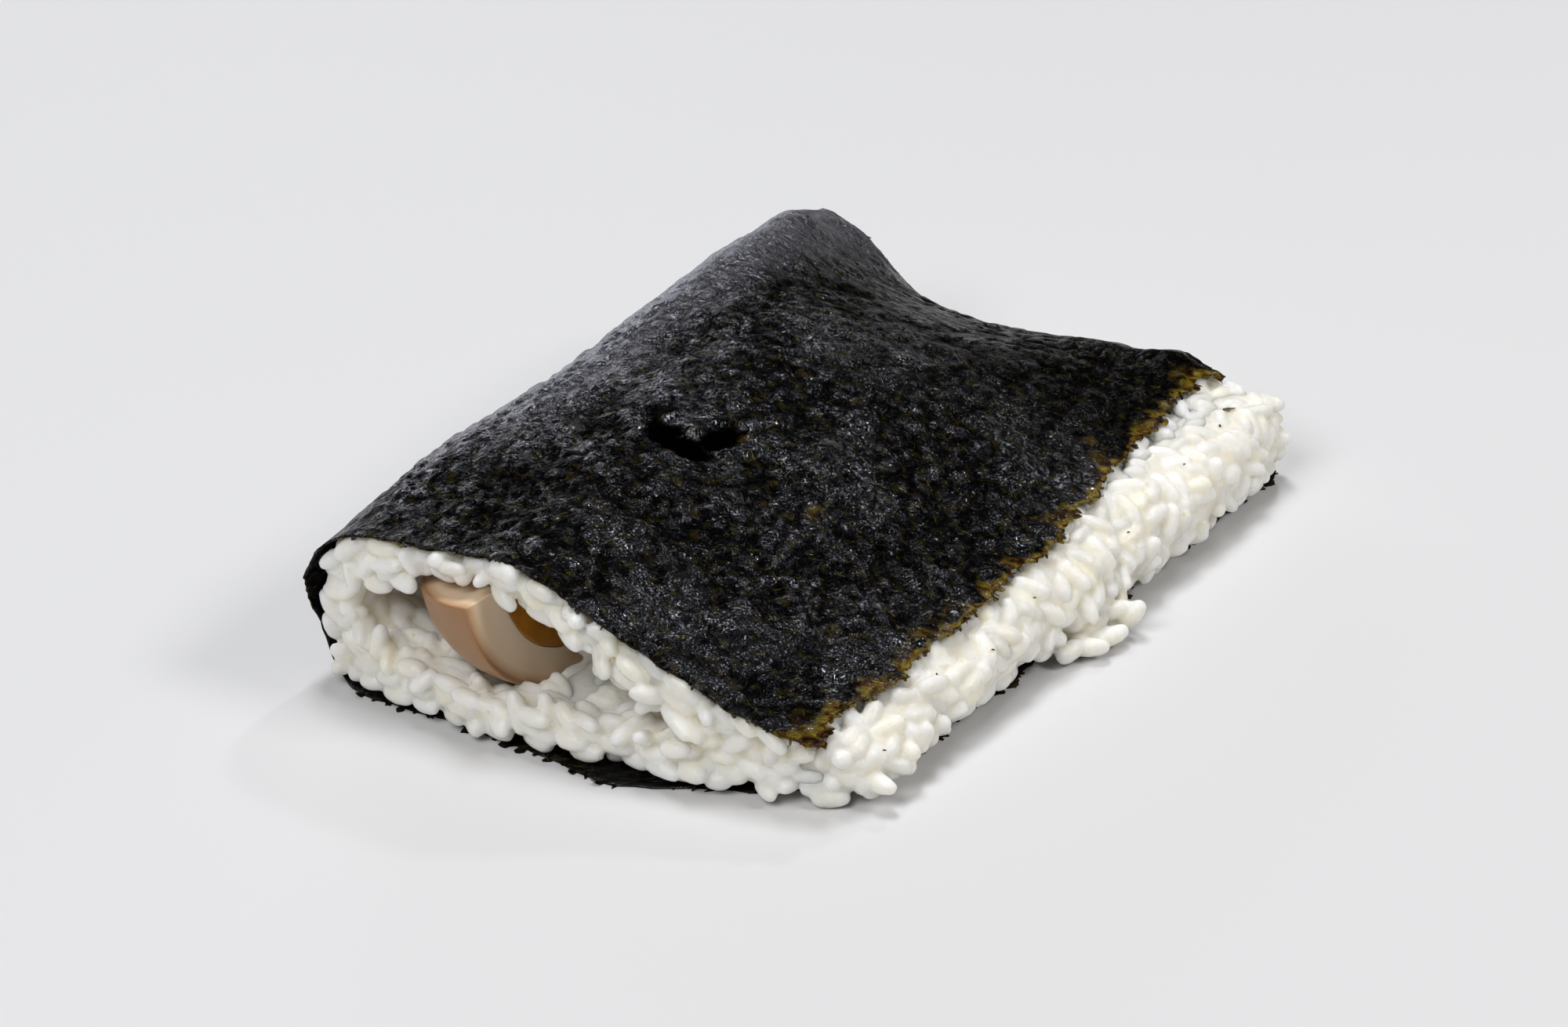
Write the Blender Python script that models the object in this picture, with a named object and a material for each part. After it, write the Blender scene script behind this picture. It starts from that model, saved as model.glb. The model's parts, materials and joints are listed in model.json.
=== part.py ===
"""Folded rice ball: one sheet of seaweed round a bed of rice, with an egg quarter in its open mouth.

The sheet is folded along its left side (-X).  Its front end (-Y) gapes open and shows the two layers
of rice and the egg.  Its right side (+X) is pressed shut, and the rice swells out past the sheet.
Metres, +Z up, origin on the table under the middle of the whole.
"""
import bpy
import bmesh
from math import cos, exp, pi, radians, sin, tau
from mathutils import Matrix, Vector, noise

MM = 0.001
MIDDLE = Vector((-0.16, -2.13, 0.0)) * MM    # middle of the whole's underside, which becomes the origin

# The sheet of seaweed.
SHEET = 0.6 * MM            # thickness, softened by the steam of the rice
GAP = 0.35 * MM             # clearance between touching pieces
X_FOLD = -57.5 * MM         # the outside of the fold
X_TOP_EDGE = 44.0 * MM      # where the upper half ends, over the rice
FRONT_TUCK = 2.5 * MM       # how much shorter the upper half is at the mouth
BACK_TUCK = 10.0 * MM       # and at the back
X_LOW_EDGE = 44.0 * MM      # where the lower half ends
FOLD_MIDDLE = 14.5 * MM     # height of the fold's furthest point
SHOULDER = 17.0 * MM        # width of the round from the fold to the top
HEEL = 9.0 * MM             # width of the round from the fold to the base

# Height of the sheet's upper face, in mm.  Rows run evenly from the mouth to the back,
# columns from the fold to the pressed edge, closer together near the fold.
CROWN = (
    (33.0, 32.0, 33.0, 33.5, 24.0, 13.0),
    (40.0, 38.0, 37.0, 36.0, 28.0, 17.0),
    (38.0, 39.5, 39.5, 37.5, 31.0, 19.0),
    (41.0, 42.5, 41.5, 38.5, 31.5, 20.0),
    (47.0, 42.5, 36.0, 31.5, 27.5, 20.0),
    (50.0, 31.5, 22.0, 19.5, 21.0, 19.0),
)
CROWD = 1.6                 # how much closer the columns are at the fold than on average

# The front and back ends.
LOWER_ENDS = 6.0 * MM       # the lower layer's ends hold up to this height,
UPPER_ENDS = 20.0 * MM      # and the upper layer's from here
Y_MOUTH = -71.7 * MM        # the upper layer's front edge, in the middle
MOUTH_SKEW = 0.11           # the mouth lies slightly askew
Y_LIP = -80.3 * MM          # the lower layer's front edge, where it reaches furthest
X_LIP = -20.0 * MM
LIP_BOW = 4.2               # how fast that edge curves back on both sides, per metre
Y_BACK = 76.0 * MM          # the back right corner
BACK_SKEW = 8.0 * MM        # how much further forward the back left corner is
BACK_HOLLOW = 3.0 * MM      # how far the upper back edge curves in between them
CORNER = 13.0 * MM          # how far the lower front right corner is rounded off
CORNER_LENGTH = 0.15        # over this share of the length

# The bed of rice.
BED_GAP = 0.7 * MM          # clearance under the sheet, which stays open where the sheet bends
LAYER = 8.5 * MM            # each layer's thickness
RECESS = 1.0 * MM           # the rice stays this far behind the sheet's ends
BARE_LIP = 3.0 * MM         # and this much further in the middle of the lower lip,
BARE_LIP_WIDTH = 25.0 * MM  # fading over this
X_SWELL = 42.0 * MM         # where the rice starts to round off towards its bare side
SWELL = 8.0 * MM            # how far it swells past there
SWELL_HEIGHT = 0.45         # height of its furthest point, as a share of the layers' height
LUMP = 1.2 * MM             # unevenness of the bare rice
LUMP_PITCH = 7.0 * MM       # about a grain's length
LUMP_START = 3.0 * MM       # the lumps grow over this width past the sheet's edge
BARE_CORNER = 15.0 * MM     # length over which its front and back corners round off
CORNER_LOSS = 0.5           # share of the swell that they lose
CLUMP = 8.0 * MM            # a clump that hangs out of the side
CLUMP_Y = 8.0 * MM
CLUMP_WIDTH = 7.0 * MM
CLUMP_FULL = 5.5 * MM       # it hangs out fully up to this height,
CLUMP_TOP = 11.0 * MM       # and not at all from here

# The free space in the mouth.
X_SPACE = -47.5 * MM        # its closed end, inside the fold
X_ROUND = -34.0 * MM        # where its roof and floor start to meet there
X_PINCH = 26.0 * MM         # where the two layers meet on the other side
SPACE_DEPTH = 0.26          # how far in it reaches beside the egg, as a share of the length
EGG_BED = 1.5 * MM          # how deep the egg has sunk into the lower layer
EGG_BED_X = -16.0 * MM
EGG_BED_WIDTH = 11.0 * MM

# The egg quarter.
EGG_TIP = Vector((-18.0, -78.8, 27.1)) * MM
EGG_RADIUS = 22.0 * MM
EGG_HALF = 28.0 * MM        # half its length
EGG_BLUNT = 2.2             # exponent of its profile, 2 for an ellipse
EGG_TURN = radians(1.4)     # its length, turned from +Y towards -X
EGG_DIP = radians(3.5)      # its length, dipping towards the back
EGG_ROLL = radians(10.0)    # rolled about its length
EGG_ROOM = 1.2 * MM         # the rice's clearance round it
EGG_CORE = 0.4              # place inside the quarter's section, as a share of its radius, both ways
YOLK_RADIUS = 16.5 * MM
YOLK_HALF = 18.5 * MM
YOLK_FROM = 0.15            # the yolk takes the middle of the quarter's outline, from here

# Mesh density.
SHEET_STATIONS = 22
TOP_STEPS = 18
SHOULDER_STEPS = 8
HEEL_STEPS = 6
BASE_STEPS = 5
RICE_STATIONS = 26
RICE_SIDES = 56
FLATNESS = 2.6              # of the directions in which a section of the rice is measured
POCKET_STATIONS = 16
CAP_RINGS = (0.75, 0.4)
EGG_STEPS = 22
EGG_SIDES = 10
MARCH = 0.5 * MM            # step of the search for a section's outline
HALVINGS = 10

COLOURS = {
    "nori": ((0.008, 0.010, 0.009), 0.42),
    "rice": ((0.80, 0.79, 0.74), 0.45),
    "egg_white": ((0.46, 0.30, 0.18), 0.35),
    "egg_yolk": ((0.62, 0.27, 0.04), 0.40),
}


def mix(here, there, share):
    return here + (there - here) * share


def smooth(low, high, value):
    """0 before low, 1 past high, and smooth in between; low may be the greater of the two."""
    share = min(max((value - low) / (high - low), 0.0), 1.0)
    return share * share * (3.0 - 2.0 * share)


def spline(row, place):
    """Smooth value along an even row of numbers, for a place from 0 to 1."""
    last = len(row) - 1
    spot = min(max(place, 0.0), 1.0) * last
    cell = min(int(spot), last - 1)
    share = spot - cell
    here, there = row[cell], row[cell + 1]
    before = row[cell - 1] if cell > 0 else 2 * here - there
    after = row[cell + 2] if cell + 2 <= last else 2 * there - here
    leave = 0.5 * (there - before)
    arrive = 0.5 * (after - here)
    rise = there - here
    bend = 3 * rise - 2 * leave - arrive
    turn = leave + arrive - 2 * rise
    return here + share * (leave + share * (bend + share * turn))


# ---- the folded form: a section at each station, from the mouth (0) to the back (1) ----

def top(x, station):
    """Height of the sheet's upper face."""
    across = (x - X_FOLD) / (X_TOP_EDGE - X_FOLD)
    column = across * mix(CROWD, 1.0, across)
    return MM * spline([spline(row, column) for row in CROWN], station)


def front(x, z):
    """Where the sheet starts: its upper half at the mouth, its lower half at the lip."""
    upper = Y_MOUTH + MOUTH_SKEW * x
    lower = Y_LIP + LIP_BOW * (x - X_LIP) ** 2
    return mix(lower, upper, smooth(LOWER_ENDS, UPPER_ENDS, z))


def back(x, z):
    """Where it ends: the upper half's back edge is hollow between its corners."""
    across = (x - X_FOLD) / (X_TOP_EDGE - X_FOLD)
    hollow = max(4.0 * across * (1.0 - across), 0.0) * smooth(LOWER_ENDS, UPPER_ENDS, z)
    return Y_BACK - BACK_SKEW * min(1.0 - across, 1.0) - BACK_HOLLOW * hollow


def top_edge(station):
    tuck = FRONT_TUCK * (1.0 - smooth(0.0, 0.2, station)) + BACK_TUCK * smooth(0.4, 1.0, station)
    return X_TOP_EDGE - tuck


def low_edge(station):
    """The lower half's free edge, with its front corner rounded off."""
    before_corner = max(1.0 - station / CORNER_LENGTH, 0.0)
    return X_LOW_EDGE - CORNER * before_corner ** 2


def sheet_section(station, inset):
    """The sheet's section, from the upper free edge round the fold to the lower one."""
    points = []
    shoulder_x = X_FOLD + SHOULDER
    heel_x = X_FOLD + HEEL
    for step in range(TOP_STEPS):
        x = mix(top_edge(station), shoulder_x, step / TOP_STEPS)
        points.append((x, top(x, station) - inset))
    for step in range(SHOULDER_STEPS):
        turn = 0.5 * pi * step / SHOULDER_STEPS
        x = shoulder_x - (SHOULDER - inset) * sin(turn)
        rise = top(x, station) - inset - FOLD_MIDDLE
        points.append((x, FOLD_MIDDLE + rise * cos(turn)))
    for step in range(HEEL_STEPS):
        turn = 0.5 * pi * step / HEEL_STEPS
        x = heel_x - (HEEL - inset) * cos(turn)
        points.append((x, FOLD_MIDDLE - (FOLD_MIDDLE - inset) * sin(turn)))
    for step in range(BASE_STEPS + 1):
        points.append((mix(heel_x, low_edge(station), step / BASE_STEPS), inset))
    return points


def sheet_rings():
    """Closed loops round the sheet's section, its outer face first and then its inner face."""
    rings = []
    for number in range(SHEET_STATIONS + 1):
        station = number / SHEET_STATIONS
        outer = sheet_section(station, 0.0)
        inner = sheet_section(station, SHEET)
        ring = []
        for x, z in outer + inner[::-1]:
            ring.append(Vector((x, mix(front(x, z), back(x, z), station), z)))
        rings.append(ring)
    return rings


# ---- the bed of rice ----

def rice_y(x, z, station):
    """Place of the rice's own station, a little inside the sheet's ends."""
    low = 1.0 - smooth(LOWER_ENDS, UPPER_ENDS, z)
    bare = BARE_LIP * exp(-(x / BARE_LIP_WIDTH) ** 2) * low
    return mix(front(x, z) + RECESS + bare, back(x, z) - RECESS, station)


def sheet_station(x, y, z):
    start = front(x, z)
    return (y - start) / (back(x, z) - start)


def swell(y, z, roof):
    """How far the bare rice reaches past the pressed edge, at a height."""
    middle = SWELL_HEIGHT * roof
    span = roof - middle if z > middle else middle
    round_off = max(1.0 - ((z - middle) / span) ** 2, 0.0) ** 0.5
    clump = exp(-((y - CLUMP_Y) / CLUMP_WIDTH) ** 2) * (1.0 - smooth(CLUMP_FULL, CLUMP_TOP, z))
    ends = smooth(Y_BACK - BARE_CORNER, Y_BACK, y) + smooth(BARE_CORNER, 0.0, y - Y_MOUTH)
    return SWELL * round_off * (1.0 - CORNER_LOSS * ends) + CLUMP * clump


def in_bed(x, y, z):
    """Whether a point is in the folded bed, whose mouth is still full."""
    skin = SHEET + BED_GAP
    roof = top(x, sheet_station(x, y, z)) - skin
    shoulder_x = X_FOLD + SHOULDER
    heel_x = X_FOLD + HEEL
    if z > FOLD_MIDDLE and x < shoulder_x:
        aside = (shoulder_x - x) / (SHOULDER - skin)
        return aside ** 2 + ((z - FOLD_MIDDLE) / (roof - FOLD_MIDDLE)) ** 2 < 1.0
    if z <= FOLD_MIDDLE and x < heel_x:
        aside = (heel_x - x) / (HEEL - skin)
        return aside ** 2 + ((FOLD_MIDDLE - z) / (FOLD_MIDDLE - skin)) ** 2 < 1.0
    if not skin < z < roof:
        return False
    return x < X_SWELL + swell(y, z, roof)


def egg_axes():
    """The quarter's length and the directions of its two cut faces."""
    turned = Matrix.Rotation(EGG_TURN, 3, "Z") @ Matrix.Rotation(-EGG_DIP, 3, "X")
    rolled = turned @ Matrix.Rotation(-EGG_ROLL, 3, "Y")
    return rolled @ Vector((0, 1, 0)), rolled @ Vector((-1, 0, 0)), rolled @ Vector((0, 0, -1))


def egg_radius(along, room=0.0):
    """The egg's radius at a distance from its tip, with clearance round it."""
    share = abs(along - EGG_HALF) / (EGG_HALF + room)
    return (EGG_RADIUS + room) * max(1.0 - share ** EGG_BLUNT, 0.0) ** (1.0 / EGG_BLUNT)


def in_egg(point):
    """Whether a point is in the egg quarter or the clearance round it."""
    along, left, down = egg_axes()
    offset = point - EGG_TIP
    aside = offset.dot(left)
    below = offset.dot(down)
    if min(aside, below) < -EGG_ROOM:
        return False
    return (aside * aside + below * below) ** 0.5 < egg_radius(offset.dot(along), EGG_ROOM)


def in_space(x, y, z):
    """Whether a point is in the free space between the two layers."""
    station = sheet_station(x, y, z)
    depth = station / SPACE_DEPTH
    if depth >= 1.0 or not X_SPACE < x < X_PINCH:
        return False
    bed = SHEET + BED_GAP + LAYER
    roof = top(x, station) - bed
    floor = bed - EGG_BED * exp(-((x - EGG_BED_X) / EGG_BED_WIDTH) ** 2)
    half = 0.5 * (roof - floor) * (1.0 - max(depth, 0.0) ** 2) ** 0.5
    if x < X_ROUND:
        half *= (1.0 - ((X_ROUND - x) / (X_ROUND - X_SPACE)) ** 2) ** 0.5
    return abs(z - 0.5 * (roof + floor)) < half


def in_pocket(x, y, z):
    return in_space(x, y, z) or in_egg(Vector((x, y, z)))


def core(station):
    """A point inside the pocket, which follows the far half of the egg, and the egg's three edges."""
    axis, left, down = egg_axes()
    y = rice_y(EGG_TIP.x, 0.5 * EGG_TIP.z, station)
    along = (y - EGG_TIP.y) / axis.y
    radius = egg_radius(max(along, EGG_HALF))
    inside = EGG_CORE * radius
    point = EGG_TIP + axis * along + (left + down) * inside
    rim = radius + EGG_ROOM - inside
    side = -EGG_ROOM - inside
    edges = (left * side + down * side, left * rim + down * side, left * side + down * rim)
    return Vector((point.x, point.z)), [Vector((edge.x, edge.z)).normalized() for edge in edges]


def directions(flatness, edges):
    """All round a section, closer together towards its flat ends, and exactly at the edges."""
    result = []
    for number in range(RICE_SIDES):
        turn = tau * number / RICE_SIDES
        result.append(Vector((flatness * cos(turn), sin(turn))).normalized())
    for edge in edges:
        nearest = max(range(RICE_SIDES), key=lambda number: result[number].dot(edge))
        result[nearest] = edge
    return result


def reach(inside, centre, station, direction):
    """Last point inside, along a direction from the centre of a section."""
    def spot(distance):
        x, z = centre + direction * distance
        return x, rice_y(x, z, station), z
    low = 0.0
    while inside(*spot(low + MARCH)):
        low += MARCH
    high = low + MARCH
    for _ in range(HALVINGS):
        middle = 0.5 * (low + high)
        if inside(*spot(middle)):
            low = middle
        else:
            high = middle
    return Vector(spot(low))


def lumps(point, amount):
    return amount * noise.noise(point / LUMP_PITCH)


def outer_rings():
    """The bed's outside.  Only what the sheet leaves bare is lumpy."""
    centre = core(0.0)[0]
    rings = []
    for number in range(RICE_STATIONS + 1):
        station = number / RICE_STATIONS
        ring = []
        for direction in directions(FLATNESS, ()):
            point = reach(in_bed, centre, station, direction)
            bare = smooth(X_TOP_EDGE, X_TOP_EDGE + LUMP_START, point.x)
            point.x += lumps(point, 2.0 * LUMP * bare)
            ring.append(point)
        rings.append(ring)
    return rings


def pocket_rings():
    """The hollow behind the mouth, from the front inwards, up to the egg's far end."""
    far_end = EGG_TIP + egg_axes()[0] * (2.0 * EGG_HALF + EGG_ROOM)
    last = sheet_station(*far_end)
    rings = []
    for number in range(POCKET_STATIONS + 1):
        station = last * 0.5 * (1.0 - cos(pi * number / POCKET_STATIONS))
        centre, edges = core(station)
        flatness = mix(FLATNESS, 1.0, smooth(0.0, SPACE_DEPTH, station))
        ways = directions(flatness, edges)
        rings.append([reach(in_pocket, centre, station, way) for way in ways])
    return rings


def between(ring, other, share, bulge):
    """A ring partly on the way to another, on an end face, with lumps."""
    result = []
    for here, there in zip(ring, other):
        point = here.lerp(there, share)
        point.y += bulge + lumps(point, LUMP)
        result.append(point)
    return result


def rice_rings():
    """One open tube of rings: the back face's middle, the outside, the mouth and the pocket."""
    outside = outer_rings()
    pocket = pocket_rings()
    middle = sum(outside[-1], Vector()) / RICE_SIDES
    back_face = [between(outside[-1], [middle] * RICE_SIDES, 1.0 - share, 0.0) for share in CAP_RINGS]
    front_face = [between(outside[0], pocket[0], 0.5, -RECESS)]
    return back_face[::-1] + outside[::-1] + front_face + pocket


# ---- the egg quarter ----

def egg_profile(radius, half, turn):
    """Distance from the middle along the egg, and radius there; turn runs from 0 to pi."""
    along = -half * cos(turn)
    return along, radius * max(1.0 - abs(cos(turn)) ** EGG_BLUNT, 0.0) ** (1.0 / EGG_BLUNT)


def quarter_rings(radius, half, hollow_radius, hollow_half):
    """Loops (outer profile, then hollow profile back) turned from one cut face to the other."""
    axis, left, down = egg_axes()
    centre = EGG_TIP + axis * EGG_HALF
    rings = []
    for side in range(EGG_SIDES + 1):
        angle = 0.5 * pi * side / EGG_SIDES
        outward = left * cos(angle) + down * sin(angle)
        outer = []
        inner = []
        for step in range(EGG_STEPS + 1):
            share = step / EGG_STEPS
            along, distance = egg_profile(radius, half, pi * share)
            outer.append(centre + axis * along + outward * distance)
            inner_turn = pi * min(max((share - YOLK_FROM) / (1.0 - 2.0 * YOLK_FROM), 0.0), 1.0)
            along, distance = egg_profile(hollow_radius, hollow_half, inner_turn)
            if inner_turn in (0.0, pi):
                edge = min(share, 1.0 - share) / YOLK_FROM
                along = (half - (half - hollow_half) * edge) * (1.0 if share > 0.5 else -1.0)
            inner.append(centre + axis * along + outward * distance)
        rings.append(outer + inner[::-1])
    return rings


# ---- building ----

def material(name):
    colour, roughness = COLOURS[name]
    result = bpy.data.materials.new(name)
    result.use_nodes = True
    shader = result.node_tree.nodes["Principled BSDF"]
    shader.inputs["Base Color"].default_value = (*colour, 1.0)
    shader.inputs["Roughness"].default_value = roughness
    shader.inputs["Metallic"].default_value = 0.0
    return result


def loft(name, rings, fan_ends=False):
    """Join rings of equal length into one closed body; its ends are strips or fans."""
    mesh = bmesh.new()
    loops = [[mesh.verts.new(point - MIDDLE) for point in ring] for ring in rings]
    count = len(rings[0])
    for loop, following in zip(loops, loops[1:]):
        for number in range(count):
            after = (number + 1) % count
            mesh.faces.new((loop[number], loop[after], following[after], following[number]))
    for loop, ring in ((loops[0], rings[0]), (loops[-1], rings[-1])):
        if fan_ends:
            apex = mesh.verts.new(sum(ring, Vector()) / count - MIDDLE)
            for number in range(count):
                mesh.faces.new((loop[number], loop[(number + 1) % count], apex))
        else:
            half = count // 2
            for number in range(half - 1):
                opposite = count - 1 - number
                mesh.faces.new((loop[number], loop[number + 1], loop[opposite - 1], loop[opposite]))
    bmesh.ops.remove_doubles(mesh, verts=mesh.verts, dist=0.001 * MM)
    bmesh.ops.dissolve_degenerate(mesh, edges=mesh.edges, dist=0.001 * MM)
    bmesh.ops.triangulate(mesh, faces=mesh.faces)
    bmesh.ops.recalc_face_normals(mesh, faces=mesh.faces)
    data = bpy.data.meshes.new(name)
    mesh.to_mesh(data)
    mesh.free()
    data.shade_smooth()
    data.set_sharp_from_angle(angle=radians(35.0))
    data.materials.append(material(name))
    body = bpy.data.objects.new(name, data)
    bpy.context.scene.collection.objects.link(body)


def main():
    for item in list(bpy.data.objects):
        bpy.data.objects.remove(item, do_unlink=True)
    loft("nori", sheet_rings())
    loft("rice", rice_rings(), fan_ends=True)
    hollow = (YOLK_RADIUS + GAP, YOLK_HALF + GAP)
    loft("egg_white", quarter_rings(EGG_RADIUS, EGG_HALF, *hollow))
    loft("egg_yolk", quarter_rings(YOLK_RADIUS, YOLK_HALF, 0.0, YOLK_HALF))


main()
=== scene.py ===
"""Looks of a folded rice ball: damp seaweed round a bed of steamed rice, with a stained egg quarter.

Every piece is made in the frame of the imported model: metres, +Z up, the mouth at -Y, the fold at -X.
The folded form is the model's own, but for small rises along the back and a lower rim that stands out more.
"""
import bpy
import bmesh
import json
import numpy as np
from itertools import product
from math import cos, pi, radians, sin, tau
from mathutils import Matrix, Quaternion, Vector, noise
from mathutils.bvhtree import BVHTree
from mathutils.kdtree import KDTree

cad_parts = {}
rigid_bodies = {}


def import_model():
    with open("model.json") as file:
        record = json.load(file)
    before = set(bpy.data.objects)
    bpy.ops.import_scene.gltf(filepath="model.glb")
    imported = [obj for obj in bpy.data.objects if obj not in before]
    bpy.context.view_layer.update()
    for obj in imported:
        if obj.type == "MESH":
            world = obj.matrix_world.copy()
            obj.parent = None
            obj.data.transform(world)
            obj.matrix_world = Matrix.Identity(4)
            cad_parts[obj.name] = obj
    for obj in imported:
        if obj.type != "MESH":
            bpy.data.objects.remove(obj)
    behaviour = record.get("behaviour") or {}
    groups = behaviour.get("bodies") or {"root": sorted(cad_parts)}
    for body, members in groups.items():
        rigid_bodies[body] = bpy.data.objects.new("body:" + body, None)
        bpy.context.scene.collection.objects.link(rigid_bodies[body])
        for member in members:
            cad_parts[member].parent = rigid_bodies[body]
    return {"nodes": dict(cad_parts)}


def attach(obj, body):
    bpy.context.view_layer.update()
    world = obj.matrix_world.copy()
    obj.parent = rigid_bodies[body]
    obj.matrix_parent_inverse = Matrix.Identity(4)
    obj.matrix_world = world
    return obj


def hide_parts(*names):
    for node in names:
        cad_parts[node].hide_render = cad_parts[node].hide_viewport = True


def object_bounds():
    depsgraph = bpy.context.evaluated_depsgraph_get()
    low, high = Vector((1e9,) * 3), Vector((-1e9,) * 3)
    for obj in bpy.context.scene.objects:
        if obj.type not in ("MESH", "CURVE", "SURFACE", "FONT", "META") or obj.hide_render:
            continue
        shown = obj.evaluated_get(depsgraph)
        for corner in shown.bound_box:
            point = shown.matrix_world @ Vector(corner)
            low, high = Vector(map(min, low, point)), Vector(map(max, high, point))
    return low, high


for leftover in list(bpy.data.objects):
    bpy.data.objects.remove(leftover, do_unlink=True)
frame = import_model()
cad_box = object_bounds()
nodes = frame["nodes"]

MM = 0.001
MIDDLE = (-0.16 * MM, -2.13 * MM)  # the model's origin in the folded form

# The folded form.
X_FOLD = -57.5 * MM
X_TOP_EDGE = 44 * MM
FRONT_TUCK = 2.5 * MM
BACK_TUCK = 10 * MM
X_LOW_EDGE = 45.2 * MM
FOLD_MIDDLE = 14.5 * MM
SHOULDER = 17 * MM
HEEL = 9 * MM
CROWN = (  # height of the upper face in mm, from fold to edge, for each station
    (33, 32, 33, 33.5, 24, 13),
    (40, 38, 37, 36, 28, 17),
    (38, 39.5, 39.5, 37.5, 31, 19),
    (41, 42.5, 41.5, 38.5, 31.5, 20),
    (47, 42.5, 36, 31.5, 27.5, 20),
    (50, 31.5, 22, 19.5, 21, 19),
)
CROWD = 1.6  # how much closer they stand near the fold
PEAKS = (  # x and reach in mm, station and reach, and lift in mm of a rise
    (-50, 7, 0.9, 0.05, 2), (-51, 5, 1, 0.03, -1.2), (-40, 6, 1, 0.06, 1.5), (13, 6, 1, 0.07, 1),
    (25, 6, 1, 0.08, 2.8),
)
LOWER_ENDS = 6 * MM
UPPER_ENDS = 20 * MM
Y_MOUTH = -71.7 * MM
MOUTH_SKEW = 0.11
Y_LIP = -80.3 * MM
X_LIP = -20 * MM
LIP_BOW = 4.2
Y_BACK = 76 * MM
BACK_SKEW = 8 * MM
BACK_HOLLOW = 3 * MM
CORNER = 13 * MM
CORNER_LENGTH = 0.15

# The clump that hangs out of the side.
CLUMP = 8 * MM
CLUMP_Y = 8 * MM
CLUMP_WIDTH = 7 * MM
CLUMP_FULL = 5.5 * MM
CLUMP_TOP = 11 * MM
HANG_SINK = 1.3  # share of the clump by which the mass behind it lies in

# The egg quarter.
EGG_TIP = Vector((-18.2, -78.8, 26.6)) * MM
EGG_RADIUS = 22.4 * MM
EGG_HALF = 28 * MM
EGG_BLUNT = 2.2
EGG_TURN = radians(1.4)
EGG_DIP = radians(3.5)
EGG_ROLL = radians(10)
YOLK_RADIUS = 16.5 * MM
YOLK_HALF = 18.5 * MM
YOLK_GAP = 0.1 * MM
YOLK_PAST = 1 * MM  # how far its hollow runs past the flat faces, and how much wider it is
YOLK_EASE = 1.06
BESIDE_EGG = (-8.5, -61, 7.5, 2.2)  # x, y, reach and depth in mm of the hollow beside it
HOLLOW_EDGE = 0.8 * MM  # where it is deeper, no grain lies between the next two heights
HOLLOW_FLOOR = 7.9 * MM
HOLLOW_ROOF = 15 * MM

# The seaweed's own make.
THICKNESS = 0.4 * MM
COLUMNS = (112, 34, 14, 28)  # over the top, the shoulder, the heel and the base
STATIONS = 244
SHEET_SPAN = 0.25  # metres of sheet across the whole UV square
TEAR_REACH = 3.2 * MM  # how far in from a rim a tear pulls the sheet
TEARS = (2.6 * MM, 1.7 * MM, 0.9 * MM, 0.8 * MM)  # straying of each rim: upper, lower, mouth, back
SIDE_TOOTH = 2.6 * MM  # spacing of the teeth along the upper and lower rims
END_TOOTH = 2.4 * MM  # and along the mouth's and the back's
DROOP = 1.3 * MM  # how far the rear rim hangs over the rice
DROOP_REACH = 2.4 * MM
# Their wet also carries painted glints round their rims and painted black inside them.
WET_DENTS = (  # x, y, half length, half width in mm, turn in degrees, share of the depth
    (-16.6, -24.4, 5.8, 4, -15, 1), (-10.6, -25.2, 5, 3.4, 10, 1), (-8.2, -18.6, 5.2, 3.5, 75, 1),
    (-21.4, -19.6, 4.2, 2.8, 60, 0.8), (7, -70.5, 3.2, 1.8, 20, 0.3), (34, 18.3, 3.6, 2.2, 60, 0.28),
    (-28, -42, 3, 2, 40, 0.25),
)
STAINS = (  # x, y, reach in mm and strength of the thin brown patches
    (-6, -15.6, 2.6, 0.38), (13.4, -21.7, 3.2, 0.42), (30, -40, 3, 0.35), (24, 8, 3.4, 0.3),
    (32, 34, 3, 0.4),
)
DENT_DEPTH = 1.8 * MM
GRAIN_PITCH = 3.3 * MM  # spacing of the grains under the sheet
FRINGE = 1.7 * MM  # width of the thin torn fringe
LIP_MIDDLE = 8 * MM  # x where the lower rim still sticks out in front
LIP_WIDTH = 11 * MM
LIP_SHORT = 4 * MM  # how far it is short of that elsewhere
LIP_REACH = 8 * MM
THIN_CORNERS = (  # x, y, reach in mm, and how thin the sheet is there
    (40, -66, 7, 1), (34, 72, 6, 0.35),
)

# The scraps.
SCRAPS = (  # for each rim: number, length in mm, how thin, and how far they turn up
    (320, 1.3, 0.8, -0.25), (110, 0.8, 0.1, -0.2), (110, 1.6, 0.05, 0.4), (60, 0.8, 0.2, -0.1),
    (140, 1.6, 0.2, 0.1),
)
SCRAP_SIDES = 10
SCRAP_CURL = 0.06  # unevenness of a scrap, as a share of its length
SCRAP_THICKNESS = 0.12 * MM
INSIDE = 0.1 * MM  # how far the scraps stay inside the model's box
SCRAP_LIFT = 0.12 * MM
LOOSE_SCRAPS = (  # x, y, length in mm, and how thin
    (40.5, 66, 3.4, 0.9), (43, 60, 1, 0.5), (45.5, 44, 0.9, 0.3), (48, 22, 0.8, 0.2), (47, -6, 1.1, 0.6),
    (49.5, -22, 0.8, 0.2), (46.5, -34, 1, 0.4), (48.5, -52, 0.9, 0.3), (8, 72, 4, 0.1), (-14, 70, 1.6, 0.1),
)

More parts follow.
